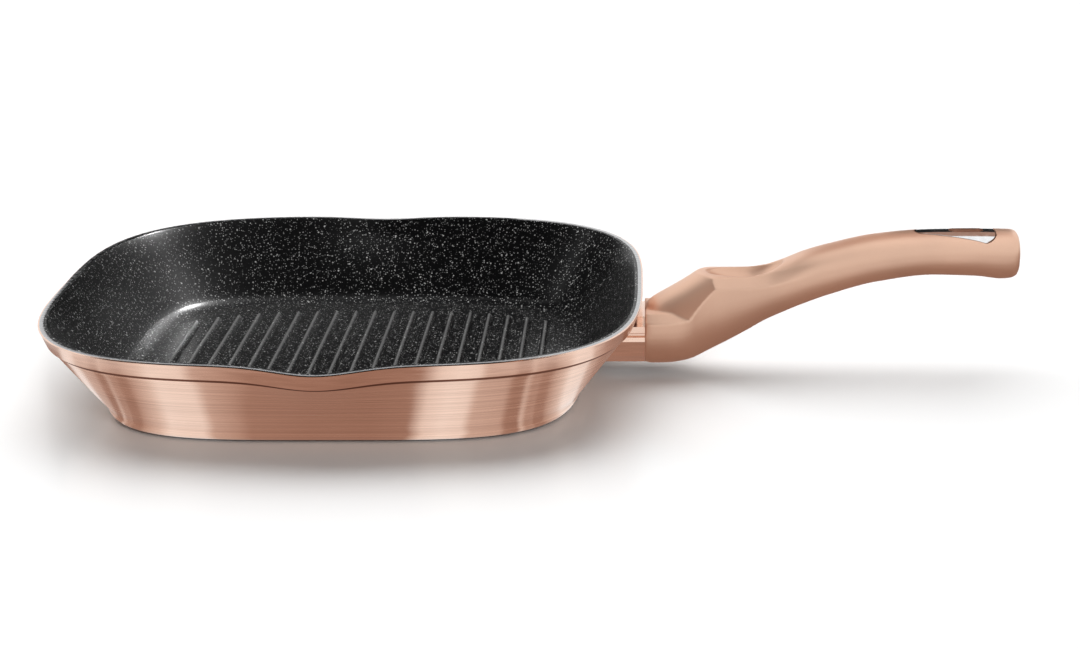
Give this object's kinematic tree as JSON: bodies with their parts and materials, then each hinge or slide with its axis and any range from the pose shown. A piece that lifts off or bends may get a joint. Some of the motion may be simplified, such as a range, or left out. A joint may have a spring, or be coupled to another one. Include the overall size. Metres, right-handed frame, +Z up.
{
  "type": "grill pan",
  "caption": "Square grill pan with a ribbed floor, pour spouts, sloping walls and a curved screwed-on handle with a hanging slot.",
  "frame": {"origin": "middle of the underside, on the surface that the pan stands on", "axes": "+Z up, +X along the handle away from the pan, +Y across to the far pour spout"},
  "size_m": [0.4606, 0.291, 0.0707],
  "materials": {
    "rose_gold_wall": "brushed",
    "base_steel": "brushed",
    "bare_aluminium": "satin",
    "guard_metal": "polished",
    "grip_satin": "satin",
    "screw_steel": "satin",
    "insert_chrome": "polished"
  },
  "bodies": {
    "root": {"pan_body": "rose_gold_wall", "induction_plate": "base_steel", "handle_stud": "bare_aluminium", "flame_guard": "guard_metal", "handle_grip": "grip_satin", "handle_screw": "screw_steel", "spring_washer": "screw_steel", "plain_washer": "screw_steel", "hang_insert": "insert_chrome"}
  },
  "joints": []
}
